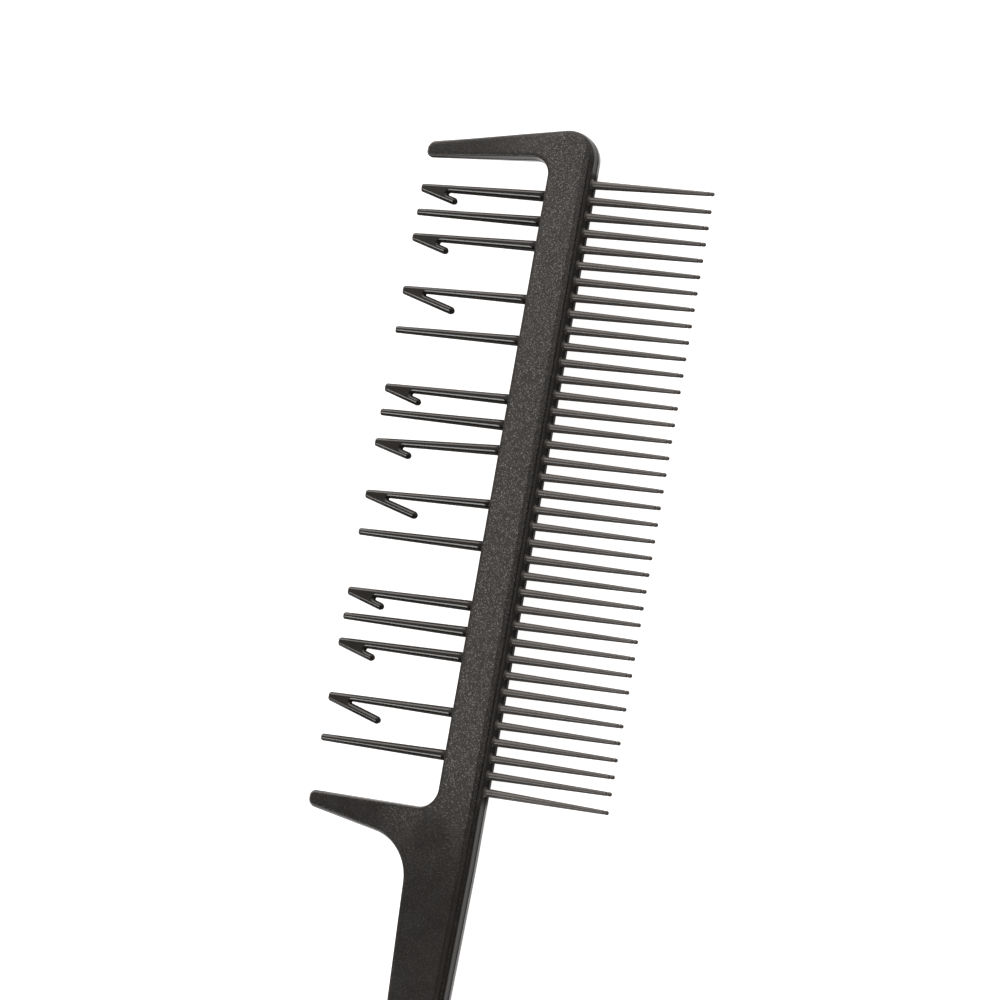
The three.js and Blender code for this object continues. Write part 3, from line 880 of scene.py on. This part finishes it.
# ---- Pieces ----
def add_piece(name, bm, place, nodes, materials):
    """Turns a bmesh in millimetres into a piece of the comb that stands for its CAD nodes. The
    second of its materials, if it has two, goes on the wall faces."""
    if len(materials) > 1:
        wall = bm.verts.layers.float["wall"]
        for face in bm.faces:
            if min(v[wall] for v in face.verts) > WALL_SHARE:
                face.material_index = 1
    for v in bm.verts:
        v.co = place(v.co)
    mesh = bpy.data.meshes.new(name)
    bm.to_mesh(mesh)
    bm.free()
    mesh.polygons.foreach_set("use_smooth", [True] * len(mesh.polygons))
    for material in materials:
        mesh.materials.append(material)
    piece = bpy.data.objects.new(name, mesh)
    bpy.context.scene.collection.objects.link(piece)
    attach(piece, "root")
    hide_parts(*nodes)
    return piece


def root_y(node, wall_x):
    """Where a tooth's root is centred along the spine, in millimetres from the spine's middle."""
    at_root = [
        v.co.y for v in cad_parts[node].data.vertices if abs(v.co.x - wall_x) < 2e-5
    ]
    return ((min(at_root) + max(at_root)) / 2 - ORIGIN.y) * 1000


body_plastic = grained_plastic()
shaded_walls = wall_shade_plastic()
hook_plastic = polished_plastic("hook_tooth_plastic", (0.009, 0.013), (0.13, 0.2))
# Painted light: the fine teeth get a lighter tone than the rest of the same moulding, for the light
# that falls on them.
fine_teeth_lit_plastic = polished_plastic("fine_tooth_plastic", (0.034, 0.046), (0.28, 0.38))

add_piece(
    "comb_body",
    body_mesh(),
    lambda co: point(co.x, co.y, co.z),
    BODY_NODES,
    [body_plastic],
)

left_teeth = sorted(
    (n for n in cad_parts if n.startswith(("short_hook", "long_hook", "pin"))),
    key=lambda n: n[-2:],
)
for node in left_teeth:
    number = int(node[-2:])
    kind = node[:-3]
    lean = LEANING.get(number, GROUP_LEAN[(number - 1) // 5])
    outline = pin_outline(lean) if kind == "pin" else hook_outline(HOOKS[kind], lean)
    y = root_y(node, spine_low.x)
    add_piece(
        node + "_moulding",
        plate_tooth(outline),
        lambda co, y=y: point(SPINE_LEFT - co.x, y - co.y, co.z),
        [node],
        [hook_plastic, shaded_walls],
    )

for number in range(1, FINE_COUNT + 1):
    node = f"fine_tooth_{number:02d}"
    outer = 1 if number == 1 else -1 if number == FINE_COUNT else 0
    y = root_y(node, spine_high.x)
    add_piece(
        node + "_moulding",
        fine_tooth(outer * FINE_END_SPLAY),
        lambda co, y=y: point(SPINE_RIGHT + co.x, y + co.y, co.z),
        [node],
        [fine_teeth_lit_plastic, shaded_walls],
    )


# ---- Stage ----
def pale_floor():
    """A white light table: it glows, so that the comb's shadow stays faint."""
    mesh = bpy.data.meshes.new("floor")
    half = 3.0
    corners = [(-half, -half, 0), (half, -half, 0), (half, half, 0), (-half, half, 0)]
    mesh.from_pydata(corners, [], [(0, 1, 2, 3)])
    floor = bpy.data.objects.new("floor", mesh)
    floor.location.z = cad_box[0][2] - 0.0001
    m = Nodes("floor")
    m.shader.inputs["Base Color"].default_value = (0.5, 0.5, 0.5, 1)
    m.shader.inputs["Roughness"].default_value = 0.9
    m.shader.inputs["Specular IOR Level"].default_value = 0.0
    m.shader.inputs["Emission Color"].default_value = (1.0, 0.975, 0.97, 1)
    m.shader.inputs["Emission Strength"].default_value = 1.0
    mesh.materials.append(m.material)
    bpy.context.scene.collection.objects.link(floor)
    return floor


def soft_light(name, direction, distance, size, radiance):
    """A rectangular soft box of a given brightness that faces the comb's middle."""
    lamp = bpy.data.lights.new(name, "AREA")
    lamp.shape = "RECTANGLE"
    lamp.size, lamp.size_y = size
    lamp.energy = radiance * math.pi * size[0] * size[1]
    box = bpy.data.objects.new(name, lamp)
    toward = Vector(direction).normalized()
    box.location = toward * distance
    box.rotation_euler = toward.to_track_quat("Z", "Y").to_euler()
    bpy.context.scene.collection.objects.link(box)
    return box


class Sky(Nodes):
    """The studio's soft light from all round, by direction: dim overhead, bright beyond the
    comb's head, dark on the near and fine-toothed sides."""

    def __init__(self, overhead, back, back_range, near, near_range, right, right_range):
        world = bpy.data.worlds.new("studio")
        world.use_nodes = True
        self.tree = world.node_tree
        direction = self.tree.nodes.new("ShaderNodeTexCoord").outputs["Generated"]
        parts = self.add("ShaderNodeSeparateXYZ", Vector=direction)
        x, y = parts.outputs["X"], parts.outputs["Y"]
        light = self.math("ADD", overhead, self.range(y, *back_range, 0.0, back, smooth=True))
        light = self.math("MULTIPLY", light, self.range(y, *near_range, near, 1.0, smooth=True))
        light = self.math("MULTIPLY", light, self.range(x, *right_range, 1.0, right, smooth=True))
        background = self.tree.nodes["Background"]
        background.inputs["Color"].default_value = (1.0, 0.96, 0.93, 1)
        self.tree.links.new(light, background.inputs["Strength"])
        bpy.context.scene.world = world


pale_floor()
soft_light("crease_light", (-0.38, -0.54, 0.75), 1.2, (0.9, 0.42), 8.0)
Sky(
    overhead=0.35,
    back=3.6,
    back_range=(0.18, 0.55),
    near=0.1,
    near_range=(-0.4, 0.1),
    right=0.25,
    right_range=(-0.45, 0.4),
)
bpy.context.scene.view_settings.view_transform = "Standard"
